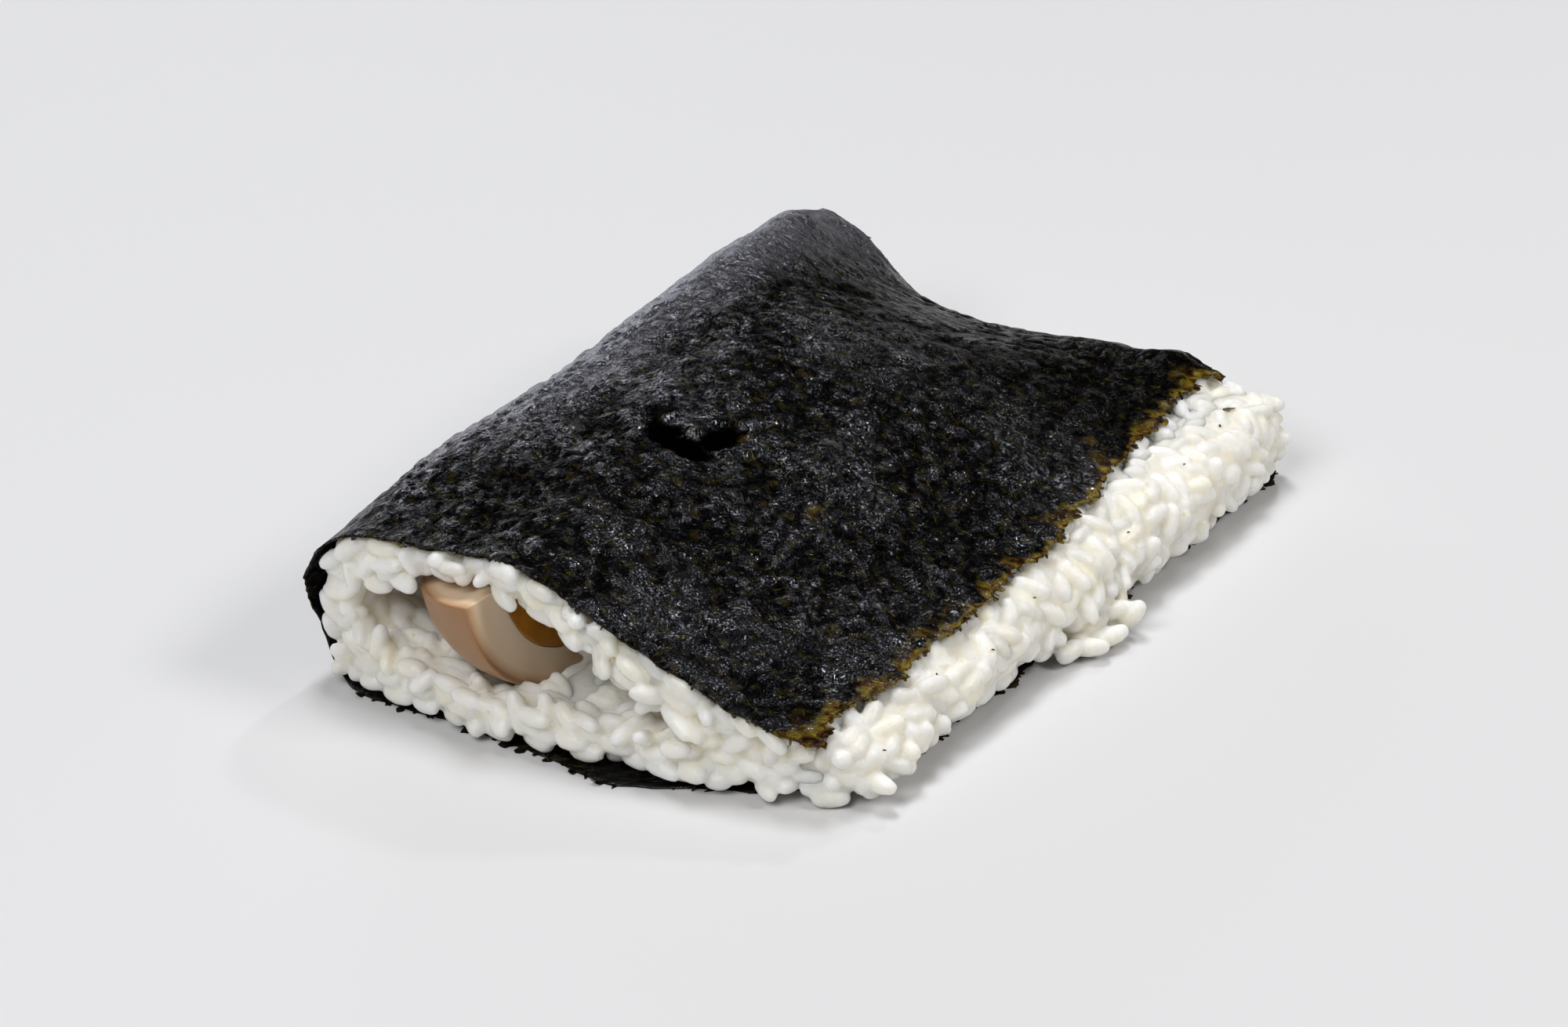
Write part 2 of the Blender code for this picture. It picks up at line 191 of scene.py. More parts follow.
# The rice.
GRAIN_SIDES = 9
GRAIN_RINGS = 6
GRAIN_BLUNT = 2.5
GRAIN_KINDS = (  # length, width, depth, bend, taper and notch of the germ end
    (7 * MM, 3.3 * MM, 2.9 * MM, 0.1, 0.04, 0.5),
    (6.6 * MM, 3.4 * MM, 3 * MM, -0.06, 0.07, 0.7),
    (7.4 * MM, 3.15 * MM, 2.8 * MM, 0.16, 0.02, 0.4),
    (6 * MM, 3.45 * MM, 3.1 * MM, 0.04, 0.09, 0.6),
    (5 * MM, 3.3 * MM, 3 * MM, 0, 0.12, 0.3),
)
SITES = 30000
BARE_FROM = 1.35 * MM  # rice further than this from the sheet lies bare
UNDERLAP = 6 * MM  # and grains reach this far in under the sheet
LAYERS = ((1.45 * MM, 26000), (2.5 * MM, 12000))  # depth of each layer, and grains tried
SIZE_SPREAD = 0.09  # how much the grains differ in size, tip and depth
TIP_SPREAD = 0.13
DEPTH_SPREAD = 0.22 * MM
BEAD = 1.1 * MM  # a grain counts as seven beads in a row, this far apart
TINT_STEP = 1.6 * BEAD  # and takes its tint at three points, this far apart
BEAD_RADII = [radius * MM for radius in (0.7, 1.15, 1.25, 1.25, 1.25, 1.15, 0.7)]
APART = 1.45 * MM  # least distance between two grains' beads
CELL = 2.2 * MM
SPARE = (0.35 * MM, 0, 0)  # further gap to the sheet, the egg white and the yolk
CORE_DEPTH = 2 * MM  # how far in the mass behind the grains lies
SWELL = 0.1 * MM  # how much the fused grains have swollen
RELIEF = 0.09 * MM  # height of the bumps on the grains, and their pitch
RELIEF_PITCH = 1.5 * MM
MARGIN = 0.05 * MM  # between the grains and the model's box
# Each heap: depth of its filling, voxel, rounds of smoothing, and the cuts round the filling, each across an
# axis at a place in mm, with the way to the side that stays.
HEAPS = {
    "rice_grains_side": (0.9 * MM, 0.37 * MM, 3, ((0, 36, 1), (1, -63, 1))),
    "rice_grains_mouth": (1.3 * MM, 0.38 * MM, 3, ((1, -36, -1),)),
    "rice_grains_back": (1.2 * MM, 0.6 * MM, 2, ((1, 62, 1), (0, 42, -1))),
}
LUMP = 0.35 * MM  # height of the lumps in the filling, and their pitch
LUMP_PITCH = 3.4 * MM
MASS_VOXEL = 1.2 * MM
SIDE_FROM = 40 * MM  # rice to the right of this shows in the side
SIDE_FRONT = -60 * MM  # but in front of this in the mouth
BACK_FROM = 60 * MM
SIDE_SITES = 36 * MM  # grains are laid past this on the right
CLEFT = 1.45 * MM  # how far from a grain's middle the clefts begin, and their depth
CLEFT_DEPTH = 0.6 * MM
UNDER_SHEET = 3 * MM  # how far the filling keeps from the sheet
MOST_FACES = 190000
AT_MOUTH = -62 * MM  # in front of this the grains lie along the cut
DEEPEST = -42 * MM  # no grain shows further back than this inside the mouth
LOOSE_SIZE = 1.12
LOOSE_GRAINS = (  # x, y, z in mm, heading and climb in degrees, and kind
    (54, 13.6, 4, 20, 52, 3), (53.2, 7.4, 2.4, 58, 8, 0), (51.4, 11.6, 4.8, 48, 10, 1),
    (52.4, 2.6, 2.4, 20, 8, 1), (50.2, 6.6, 4.4, 62, 12, 3), (50.6, -0.6, 2.6, 70, 18, 4),
    (49.2, 11, 6.4, 110, 10, 1), (48.8, 4.4, 6, 85, 10, 3), (50, 3.6, 2.2, 120, 0, 3),
    (48.4, 7.6, 8.2, 84, 6, 3), (50.2, 11.8, 2.4, 70, 6, 3),
)

# The camera and the light.
AIM = Vector((-0.0005, -0.0128, 0.02))
DISTANCE = 0.7557
AZIMUTH = radians(38)
ELEVATION = radians(28.84)
ROLL = radians(-2.635)
LENS = 100
LIGHTS = (  # name, place, width and height in m, watts, colour
    ("key", (1, 0.35, 0.95), (0.4, 0.4), 7, "#fffdfa"),
    ("overhead", (-0.45, 0.45, 2), (0.6, 0.6), 16.8, "#fbfcff"),
    ("overhead_lamp", (-0.1, 0.1, 1.4), (0.12, 0.12), 1.4, "#fbfcff"),
    ("front_fill", (0, -1.05, 1.2), (1, 1), 14.5, "#ffffff"),
    ("low_back", (-1.45, 0.78, 0.27), (1.5, 0.5), 7.2, "#f6f7ff"),
    ("glint", (-0.15, 0.75, 0.75), (0.08, 0.08), 1.3, "#ffffff"),
)
SKY = "#f4f5f7"
SKY_STRENGTH = 0.02

# The finishes.
FIBRES = (  # length and width in mm, and turn in degrees, of each lie
    (2.6, 0.26, 12), (2.2, 0.22, 52), (2.6, 0.24, 97), (2, 0.28, 143),
)
HAIRS = (  # and of the longer pale hairs among them
    (4.4, 0.34, 30), (3.6, 0.3, 112),
)
TORN = (  # the torn edge's browns, olives and ambers
    (0.36, "#1a0f06"), (0.46, "#50320c"), (0.53, "#6d5a14"), (0.6, "#82742a"), (0.67, "#5c4a12"),
    (0.75, "#9a6418"),
)
BUMP = 0.9 * MM  # height of the crinkle from its lowest to its highest


# ---- helpers ----

def linear(code):
    """The linear colour of an sRGB hex value."""
    parts = [int(code[place:place + 2], 16) / 255 for place in (1, 3, 5)]
    return tuple(p / 12.92 if p <= 0.04045 else ((p + 0.055) / 1.055) ** 2.4 for p in parts) + (1,)


def smooth(low, high, value):
    """0 before low, 1 past high, smooth in between; low may be the greater."""
    share = np.clip((value - low) / (high - low), 0, 1)
    return share * share * (3 - 2 * share)


def mix(here, there, share):
    return here + (there - here) * share


def spline(rows, place):
    """Smooth values along an even row of numbers, or along one row for each place."""
    rows = np.asarray(rows, float)
    if rows.ndim == 1:
        rows = np.repeat(rows[:, None], place.size, axis=1)
    rows = np.concatenate([2 * rows[:1] - rows[1:2], rows, 2 * rows[-1:] - rows[-2:-1]])
    spot = np.clip(place, 0, 1) * (len(rows) - 3)
    cell = np.minimum(spot.astype(int), len(rows) - 4)
    share = spot - cell
    before, here, there, after = (rows[cell + step, np.arange(place.size)] for step in range(4))
    leave = 0.5 * (there - before)
    arrive = 0.5 * (after - here)
    rise = there - here
    bend = 3 * rise - 2 * leave - arrive
    turn = leave + arrive - 2 * rise
    return here + share * (leave + share * (bend + share * turn))


def blunt(along, power):
    """Girth of a blunt form from its middle, 1, to its ends, 0."""
    return max(1 - abs(along) ** power, 0) ** (1 / power)


def deselect():
    bpy.ops.object.select_all(action="DESELECT")


def face_outwards(piece):
    deselect()
    bpy.context.view_layer.objects.active = piece
    piece.select_set(True)
    bpy.ops.object.mode_set(mode="EDIT")
    bpy.ops.mesh.select_all(action="SELECT")
    bpy.ops.mesh.normals_make_consistent(inside=False)
    bpy.ops.object.mode_set(mode="OBJECT")


def apply_modifier(piece, kind, **settings):
    modifier = piece.modifiers.new(kind.title(), kind)
    for name, value in settings.items():
        setattr(modifier, name, value)
    bpy.context.view_layer.objects.active = piece
    bpy.ops.object.modifier_apply(modifier=modifier.name)


def soften(piece, voxel, rounds):
    apply_modifier(piece, "REMESH", mode="VOXEL", voxel_size=voxel, use_smooth_shade=True)
    apply_modifier(piece, "SMOOTH", factor=0.5, iterations=rounds)


def points_of(mesh):
    points = np.empty(len(mesh.vertices) * 3)
    mesh.vertices.foreach_get("co", points)
    return points.reshape(-1, 3)


def coat(piece, surface):
    """Give a piece its one finish, and smooth shading."""
    piece.data.shade_smooth()
    piece.data.materials.clear()
    piece.data.materials.append(surface)


def ways_of(mesh):
    """The way out of a mesh at each of its vertices."""
    ways = np.empty((len(mesh.vertices), 3))
    mesh.vertices.foreach_get("normal", ways.ravel())
    return ways


def set_points(mesh, points):
    mesh.vertices.foreach_set("co", np.asarray(points, float).ravel())
    mesh.update()


def set_values(mesh, name, values):
    """Keep a value for each vertex, for the finishes to read."""
    mesh.attributes.new(name, "FLOAT", "POINT").data.foreach_set("value", values)


def new_object(data):
    made = bpy.data.objects.new(data.name, data)
    bpy.context.scene.collection.objects.link(made)
    return made


def tree_of(*pieces):
    """One tree of faces over some pieces."""
    points, faces = [], []
    for piece in pieces:
        start = len(points)
        points += [vertex.co for vertex in piece.data.vertices]
        faces += [[corner + start for corner in face.vertices] for face in piece.data.polygons]
    return BVHTree.FromPolygons(points, faces)


def near(points, x, y, reach):
    """1 at a spot seen from above, fading out over a reach, all in mm."""
    away = (points[:, 0] - x * MM) ** 2 + (points[:, 1] - y * MM) ** 2
    return np.exp(-away / (reach * MM) ** 2)


def noise_at(points, pitch, seed):
    """Smooth noise from -1 to 1 at each point, about a pitch to a lump."""
    shift = Vector((seed, -seed, 2 * seed))
    return np.array([noise.noise(Vector(point) / pitch + shift) for point in points])


def walls_at(points, pitch, seed):
    """1 along the walls between the cells of a random packing."""
    shift = Vector((seed, 2 * seed, -seed))
    reaches = [noise.voronoi(Vector(point) / pitch + shift)[0] for point in points]
    return 1 - smooth(0, 0.42, np.array([reach[1] - reach[0] for reach in reaches]))


# ---- the folded form ----

def top(x, station):
    """Height of the sheet's upper face."""
    across = (x - X_FOLD) / (X_TOP_EDGE - X_FOLD)
    column = across * mix(CROWD, 1, across)
    return MM * spline([spline(row, column) for row in CROWN], station)


def front(x, z):
    upper = Y_MOUTH + MOUTH_SKEW * x
    lower = Y_LIP + LIP_BOW * (x - X_LIP) ** 2
    return mix(lower, upper, smooth(LOWER_ENDS, UPPER_ENDS, z))


def back(x, z):
    across = (x - X_FOLD) / (X_TOP_EDGE - X_FOLD)
    hollow = np.maximum(4 * across * (1 - across), 0) * smooth(LOWER_ENDS, UPPER_ENDS, z)
    return Y_BACK - BACK_SKEW * np.minimum(1 - across, 1) - BACK_HOLLOW * hollow


def top_edge(station):
    return X_TOP_EDGE - FRONT_TUCK * (1 - smooth(0, 0.2, station)) - BACK_TUCK * smooth(0.4, 1, station)


def low_edge(station):
    return X_LOW_EDGE - CORNER * np.maximum(1 - station / CORNER_LENGTH, 0) ** 2


def sheet_place(column, station):
    """Where a column of the flat sheet comes to lie at a station."""
    shoulder_x = X_FOLD + SHOULDER
    heel_x = X_FOLD + HEEL
    over_top, over_shoulder, over_heel, over_base = (
        np.clip((column - sum(COLUMNS[:run])) / COLUMNS[run], 0, 1) for run in range(4))
    x = mix(top_edge(station), shoulder_x, over_top) - SHOULDER * np.sin(0.5 * pi * over_shoulder)
    x = np.where(over_heel > 0, heel_x - HEEL * np.cos(0.5 * pi * over_heel), x)
    x = np.where(over_base > 0, mix(heel_x, low_edge(station), over_base), x)
    roof = top(x, station)
    z = mix(FOLD_MIDDLE, roof, np.cos(0.5 * pi * over_shoulder))
    z = np.where(over_heel > 0, FOLD_MIDDLE * (1 - np.sin(0.5 * pi * over_heel)), z)
    y = mix(front(x, z), back(x, z), station)
    for middle, x_reach, place, reach, lift in PEAKS:
        rise = np.exp(-((x - middle * MM) / (x_reach * MM)) ** 2 - ((station - place) / reach) ** 2)
        z = z + lift * MM * rise * (z > FOLD_MIDDLE)
    return np.stack([x, y, z], axis=-1)


# ---- the seaweed ----

def sheet_grid():
    """A flat grid, whose vertices run by columns within each station."""
    deselect()
    bpy.ops.mesh.primitive_grid_add(x_subdivisions=sum(COLUMNS), y_subdivisions=STATIONS, size=1)
    sheet = bpy.context.object
    sheet.name = sheet.data.name = "seaweed_sheet"
    flat = points_of(sheet.data)
    return sheet, np.round((0.5 - flat[:, 0]) * sum(COLUMNS)), flat[:, 1] + 0.5


def outward(place, rows):
    """The way out of a surface whose points lie in rows, with the columns backwards."""
    grid = place.reshape(rows, -1, 3)
    along = np.gradient(grid, axis=0)
    across = np.gradient(grid, axis=1)
    normal = np.cross(across, along).reshape(-1, 3)
    return normal / np.linalg.norm(normal, axis=1, keepdims=True)


def ragged(places, seed, pitch):
    """How far a torn edge strays along it, about -1 to 1: slow bays with sharp teeth."""
    line = np.stack([places, np.full_like(places, seed * pitch), np.zeros_like(places)], axis=1)
    bays = noise_at(line, 2.4 * pitch, seed)
    teeth = 1 - 2.5 * np.abs(noise_at(line, pitch, seed + 3))
    return 0.9 * bays + 0.3 * teeth


def tear(place, arc):
    """Tear the rims, and return each point's distance to every rim."""
    x, y, z = place.T
    to_front = y - front(x, z)
    to_back = back(x, z) - y
    rims = (arc, arc.max() - arc, to_front, to_back)
    pulls = [np.exp(-(np.maximum(rim, 0) / TEAR_REACH) ** 2) for rim in rims]
    x -= TEARS[0] * ragged(y, 1, SIDE_TOOTH) * pulls[0]
    x -= TEARS[1] * ragged(y, 5, SIDE_TOOTH) * pulls[1]
    under = smooth(7 * MM, 2 * MM, z) * (1 - np.exp(-((x - LIP_MIDDLE) / LIP_WIDTH) ** 2))
    y += TEARS[2] * (0.6 + ragged(arc, 9, END_TOOTH)) * pulls[2]
    short = LIP_SHORT * smooth(-48 * MM, -26 * MM, x)
    y += short * under * np.exp(-(to_front / LIP_REACH) ** 2)
    droop = smooth(12 * MM, 22 * MM, z) * smooth(-44 * MM, -28 * MM, x)
    z -= DROOP * np.exp(-(to_back / DROOP_REACH) ** 2) * droop
    y -= TEARS[3] * (0.6 + ragged(arc, 13, END_TOOTH)) * pulls[3]
    return rims


def sink(place):
    """How far the damp sheet sinks between the grains under it and at its creases."""
    drift = noise_at(place, 4 * MM, 2)[:, None] * np.array([0.8, -0.7, 0.3]) * MM
    walls = walls_at((place + drift) * np.array([1, 0.72, 1]), GRAIN_PITCH, 4)
    press = smooth(-0.45, 0.35, noise_at(place, 17 * MM, 6))
    press *= mix(0.35, 1, smooth(20 * MM, 5 * MM, place[:, 1]))
    lumps = 0.5 - 0.5 * noise_at(place, 6 * MM, 8)
    domes = 0.5 - 0.5 * noise_at(place, 1.9 * MM, 14)
    crease = 1 - 2.2 * np.abs(noise_at(place * np.array([1, 0.5, 1]), 11 * MM, 12))
    depth = (0.12 + 0.38 * press) * walls + (0.25 + 0.35 * press) * domes + 0.5 * lumps
    depth += 0.25 * np.maximum(crease, 0) ** 2
    return depth * MM


def dent(place):
    """0 away from the wet dents in the top, up to 1 in their middles."""
    spot = np.zeros(len(place))
    stray = 0.22 * noise_at(place, 2.6 * MM, 21) + 0.22 * noise_at(place, 1 * MM, 22)
    for x, y, half_long, half_wide, degrees, share in WET_DENTS:
        turn = radians(degrees)
        side, ahead = place[:, 0] - x * MM, place[:, 1] - y * MM
        long = (side * cos(turn) + ahead * sin(turn)) / (half_long * MM)
        wide = (ahead * cos(turn) - side * sin(turn)) / (half_wide * MM)
        out = np.sqrt(long ** 2 + wide ** 2) + stray
        spot = np.maximum(spot, share * (1 - smooth(0.62, 1.12, out)))
    return spot * (place[:, 2] > FOLD_MIDDLE)


def corners(place):
    """1 at the upper edge's corners, where the sheet is torn the most."""
    spots = [share * near(place, x, y, reach) for x, y, reach, share in THIN_CORNERS]
    return np.max(spots, axis=0) * (place[:, 2] > FOLD_MIDDLE * 0.7)


def rim_places(place, rows):
    """Each rim's points and the way out of the sheet there, in the order of SCRAPS."""
    grid = place.reshape(rows, -1, 3)[:, ::-1]
    roof = COLUMNS[0] + COLUMNS[1] // 2
    foot = sum(COLUMNS[:3])
    edges = (grid[:, 0], grid[0, :roof], grid[0, foot:], grid[-1, :roof], grid[:, -1])
    inners = (grid[:, 3], grid[3, :roof], grid[3, foot:], grid[-4, :roof], grid[:, -4])
    spans = [edge - inner for edge, inner in zip(edges, inners)]
    return [(edge, span / np.linalg.norm(span, axis=1, keepdims=True)) for edge, span in zip(edges, spans)]


def arc_of(place, column, rows):
    """How far from its upper edge each point of the sheet lies, along the middle row."""
    steps = np.linalg.norm(np.diff(place.reshape(rows, -1, 3)[rows // 2, ::-1], axis=0), axis=1)
    return np.concatenate([[0], np.cumsum(steps)])[column.astype(int)]


def frayed(place, arc, rim):
    """How thin and torn the sheet is: most along its upper rim, and in its stains."""
    thin = 1.25 + 2.8 * noise_at(place, 4 * MM, 25) + 2 * corners(place)
    fray = np.maximum(np.exp(-arc / (FRINGE * thin.clip(0.15, 4))), 0.3 * np.exp(-rim / FRINGE))
    for x, y, reach, share in STAINS:
        fray = np.maximum(fray, share * near(place, x, y, reach) * (place[:, 2] > FOLD_MIDDLE))
    return fray


def painted_sheen_of(place):
    """How much the sheet shines, as painted sheen: less on the back slope, where its reflection is painted
    dimmer, and above 1 along the fold.
    """
    x, y, z = place.T
    slope = smooth(18 * MM, 42 * MM, y) * smooth(-40 * MM, -28 * MM, x)
    fold = smooth(-26 * MM, -44 * MM, x) * smooth(17 * MM, 29 * MM, z)
    return mix(0.8, 0.12, slope) + 1.5 * fold * smooth(-66 * MM, -15 * MM, y)


def lay_flat(mesh, arc, station, shift):
    """UVs of the sheet laid flat, with its rims where they strayed to."""
    flat = np.stack([arc + shift[:, 0], station * (Y_BACK - Y_LIP) + shift[:, 1]], axis=1) / SHEET_SPAN
    corner = np.empty(len(mesh.loops), int)
    mesh.loops.foreach_get("vertex_index", corner)
    mesh.uv_layers.active.data.foreach_set("uv", flat[corner].ravel())


def build_seaweed():
    """One sheet, folded, torn along its rims and pressed down between the grains."""
    sheet, column, station = sheet_grid()
    rows = STATIONS + 1
    place = sheet_place(column, station)
    arc = arc_of(place, column, rows)
    whole = place.copy()
    rim = np.min(tear(place, arc), axis=0)
    shift = place - whole
    shift[:, 0] *= np.where(place[:, 2] > FOLD_MIDDLE, -1, 1)
    place -= np.array([*MIDDLE, 0])
    normal = outward(place, rows)
    wet = dent(place)
    depth = sink(place)
    easy = smooth(2 * MM, 9 * MM, place[:, 2]) * mix(0.45, 1, smooth(0, 7 * MM, rim))
    place -= normal * (depth * easy * (1 - 0.6 * wet) + DENT_DEPTH * wet)[:, None]
    set_points(sheet.data, place)
    # The hollow depth also dims the shine, as painted shade in the hollows.
    set_values(sheet.data, "hollow", smooth(0.35 * MM, 1 * MM, depth))
    set_values(sheet.data, "wet", wet)
    set_values(sheet.data, "fray", frayed(place, arc, rim))
    # Painted sheen: brighter shine along the fold, and a dimmer reflection on the back slope.
    set_values(sheet.data, "painted_sheen", painted_sheen_of(place))
    lay_flat(sheet.data, arc, station, shift)
    apply_modifier(sheet, "SOLIDIFY", thickness=THICKNESS, offset=-1, use_rim=True)
    coat(sheet, damp_seaweed())
    return sheet, rim_places(place, rows)


def leaf(points, faces, frays, root, way, size, draw, fray):
    """One torn scrap: a ragged little leaf about its root."""
    aside = way.cross(Vector((0, 0, 1))).normalized()
    low, high = np.array(cad_box)
    middle = len(points)
    for corner in range(-1, SCRAP_SIDES):
        reach = 0 if corner < 0 else 0.55 + 0.6 * draw.random()
        turn = tau * corner / SCRAP_SIDES
        point = root + way * (reach * size[0] * cos(turn)) + aside * (reach * size[1] * sin(turn))
        point.z += SCRAP_CURL * size[0] * draw.standard_normal()
        points.append(np.clip(point, low + INSIDE, high - INSIDE))
        frays.append(fray * (0.7 + 0.3 * reach * cos(turn)))
    for corner in range(SCRAP_SIDES):
        faces.append((middle, middle + 1 + corner, middle + 1 + (corner + 1) % SCRAP_SIDES))


def build_scraps(rims, tree):
    """The teeth along the torn rims, and the flakes that lie loose on the rice."""
    draw = np.random.default_rng(11)
    points, faces, frays = [], [], []
    for (edge, ways), (count, reach, thin, lift) in zip(rims, SCRAPS):
        clumps = smooth(-0.25, 0.35, noise_at(edge, 3.5 * MM, 31)) + 0.25
        for number in draw.integers(1, len(edge) - 1, count):
            corner = float(corners(np.array([edge[number]]))[0])
            if draw.random() > clumps[number] + corner:
                continue
            stray = Vector(draw.normal(0, 0.8, 3)) + Vector((0, 0, lift))
            way = (Vector(ways[number]) + stray).normalized()
            long = reach * (0.25 + 0.75 * draw.random() ** 2 + 0.5 * corner) * MM
            root = Vector(edge[number]) + way * (0.25 * long) - Vector((0, 0, 0.5 * THICKNESS))
            fray = min(thin * (0.2 + 0.9 * draw.random()) + 0.5 * corner, 1)
            wide = long * (0.5 + 0.5 * draw.random())
            leaf(points, faces, frays, root, way, (long, wide), draw, fray)
    for x, y, size, fray in LOOSE_SCRAPS:
        hit = tree.ray_cast(Vector((x * MM, y * MM, 0.1)), Vector((0, 0, -1)))[0]
        root = hit + Vector((0, 0, SCRAP_LIFT))
        way = Vector((draw.normal(), draw.normal(), 0)).normalized()
        leaf(points, faces, frays, root, way, (0.5 * size * MM, 0.22 * size * MM), draw, fray)
    mesh = bpy.data.meshes.new("seaweed_scraps")
    mesh.from_pydata(points, [], faces)
    set_values(mesh, "fray", frays)
    piece = new_object(mesh)
    apply_modifier(piece, "SOLIDIFY", thickness=SCRAP_THICKNESS, offset=0, use_rim=True)
    face_outwards(piece)
    piece.data.materials.append(torn_seaweed())
    return piece


# ---- the egg ----

def egg_lie():
    """The egg's turn: a little to the side, dipped at its tip and rolled."""
    turned = Matrix.Rotation(EGG_TURN, 3, "Z") @ Matrix.Rotation(-EGG_DIP, 3, "X")
    return turned @ Matrix.Rotation(-EGG_ROLL, 3, "Y")


def egg_place(point):
    """From the egg's own coordinates (aside, along, below, from its middle) to the frame's."""
    lie = egg_lie()
    middle = EGG_TIP + lie @ Vector((0, EGG_HALF, 0)) - Vector((*MIDDLE, 0))
    return middle + lie @ Vector((-point[0], point[1], -point[2]))


def quarter(name, radius, half):
    """A quarter of a blunt egg of revolution, cut twice along its length."""
    deselect()
    bpy.ops.mesh.primitive_uv_sphere_add(segments=64, ring_count=48, radius=1)
    egg = bpy.context.object
    egg.name = egg.data.name = name
    for vertex in egg.data.vertices:
        aside, below, along = vertex.co
        girth = blunt(along, EGG_BLUNT)
        ring = max((aside ** 2 + below ** 2) ** 0.5, 1e-9)
        vertex.co = (aside / ring * girth * radius, along * half, below / ring * girth * radius)
    bpy.ops.object.mode_set(mode="EDIT")
    for way in ((1, 0, 0), (0, 0, 1)):
        bpy.ops.mesh.select_all(action="SELECT")
        bpy.ops.mesh.bisect(plane_co=(0, 0, 0), plane_no=way, use_fill=True, clear_inner=True)
    bpy.ops.object.mode_set(mode="OBJECT")
    face_outwards(egg)
    return egg


def settle_egg(piece, voxel, rounds, surface):
    """Soften the knife's edges, lay the piece in the mouth and finish it."""
    soften(piece, voxel, rounds)
    for vertex in piece.data.vertices:
        vertex.co = egg_place(vertex.co)
    face_outwards(piece)
    coat(piece, surface)


def build_egg():
    """The white, with a hollow a little larger than the yolk, and the yolk in it."""
    white = quarter("egg_white_quarter", EGG_RADIUS, EGG_HALF)
    hollow = quarter("yolk_hollow", YOLK_RADIUS + YOLK_GAP, YOLK_HALF + YOLK_GAP)
    hollow.location = (-YOLK_PAST, 0, -YOLK_PAST)
    hollow.scale = (YOLK_EASE, 1, YOLK_EASE)
    apply_modifier(white, "BOOLEAN", operation="DIFFERENCE", object=hollow, solver="EXACT")
    bpy.data.objects.remove(hollow, do_unlink=True)
    yolk = quarter("egg_yolk_quarter", YOLK_RADIUS, YOLK_HALF)
    settle_egg(white, 0.3 * MM, 4, stained_egg_white())
    settle_egg(yolk, 0.4 * MM, 3, soft_yolk())
    return white, yolk


# ---- the rice ----

def grain_kind(length, width, depth, bend, taper, notch):
    """One cooked grain, modelled once: its vertices and faces, lying along Y."""
    deselect()
    bpy.ops.mesh.primitive_uv_sphere_add(segments=GRAIN_SIDES, ring_count=GRAIN_RINGS, radius=0.5)
    grain = bpy.context.object
    for vertex in grain.data.vertices:
        side, up, along = (2 * part for part in vertex.co)
        ring = max((side ** 2 + up ** 2) ** 0.5, 1e-9)
        girth = blunt(along, GRAIN_BLUNT) * (1 - taper * along) / ring
        lean = bend * (1 - along * along)
        bite = notch * max(along - 0.4, 0) * max(side, 0)
        out = side * girth + lean - bite
        vertex.co = (0.5 * width * out, 0.5 * length * along, 0.5 * depth * up * girth)
    points = points_of(grain.data)
    faces = [tuple(face.vertices) for face in grain.data.polygons]
    bpy.data.meshes.remove(grain.data, do_unlink=True)
    return points, faces


def filling(name):
    """The lumpy starch between a heap's grains."""
    piece = mass(name + "_filling", HEAPS[name][0])
    lumps = points_of(piece.data)
    ways = ways_of(piece.data)
    sheet = tree_of(nodes["nori"])
    shy = np.array([max(UNDER_SHEET - sheet.find_nearest(Vector(lump))[3], 0) for lump in lumps])
    lumps[:, 2] -= beside_egg(lumps, ways[:, 2])
    lumps += ways * (LUMP * noise_at(lumps, LUMP_PITCH, 5) - shy)[:, None]
    set_points(piece.data, lumps)
    for axis, place, way in HEAPS[name][3]:
        cut(piece, axis, place, way)
    return piece


def heap(name, kinds, placed, surface):
    """Join the placed grains and the filling."""
    starch = filling(name)
    parts = [(points_of(starch.data), [tuple(face.vertices) for face in starch.data.polygons])]
    bpy.data.objects.remove(starch, do_unlink=True)
    for number, matrix, _ in reversed(placed):
        shape, sides = kinds[number]
        parts.insert(0, (shape @ np.array(matrix.to_3x3()).T + np.array(matrix.translation), sides))
    faces = []
    count = 0
    for points, sides in parts:
        faces += [[corner + count for corner in side] for side in sides]
        count += len(points)
    mesh = bpy.data.meshes.new(name)
    mesh.from_pydata(np.concatenate([points for points, _ in parts]).tolist(), [], faces)
    mesh.materials.append(surface)
    return new_object(mesh)


def cut(piece, axis, place, way):
    """Cut a closed piece across an axis and cap it, keeping the side the way points to."""
    on_axis = Vector(float(number == axis) for number in range(3))
    work = bmesh.new()
    work.from_mesh(piece.data)
    bmesh.ops.bisect_plane(work, geom=[*work.verts, *work.edges, *work.faces], clear_inner=True,
                           plane_co=on_axis * place * MM, plane_no=on_axis * way)
    bmesh.ops.holes_fill(work, edges=[edge for edge in work.edges if edge.is_boundary], sides=0)
    work.to_mesh(piece.data)
    work.free()


def fuse(piece, voxel, rounds):
    """Let the soft grains of a heap stick together where they touch."""
    soften(piece, voxel, rounds)
    smoothed = points_of(piece.data)
    uneven = SWELL + RELIEF * noise_at(smoothed, RELIEF_PITCH, 9)
    uneven = smoothed + ways_of(piece.data) * uneven[:, None]
    low, high = np.array(cad_box)
    set_points(piece.data, np.clip(uneven, low + MARGIN, high - MARGIN))
    apply_modifier(piece, "TRIANGULATE")
    if len(piece.data.polygons) > MOST_FACES:
        apply_modifier(piece, "DECIMATE", ratio=MOST_FACES / len(piece.data.polygons))
    piece.data.shade_smooth()


def tell_apart(piece, placed):
    """Keep each grain's tint and the depth of the clefts in a fused heap."""
    beads = KDTree(len(placed) * 3)
    for number, (_, matrix, _) in enumerate(placed):
        for step in (-1, 0, 1):
            beads.insert(matrix @ Vector((0, TINT_STEP * step, 0)), number)
    beads.balance()
    found = [beads.find(vertex.co) for vertex in piece.data.vertices]
    set_values(piece.data, "tint", [placed[number][2] for _, number, _ in found])
    depths = np.array([(away - CLEFT) / CLEFT_DEPTH for _, _, away in found])
    set_values(piece.data, "cleft", depths.clip(0, 1))


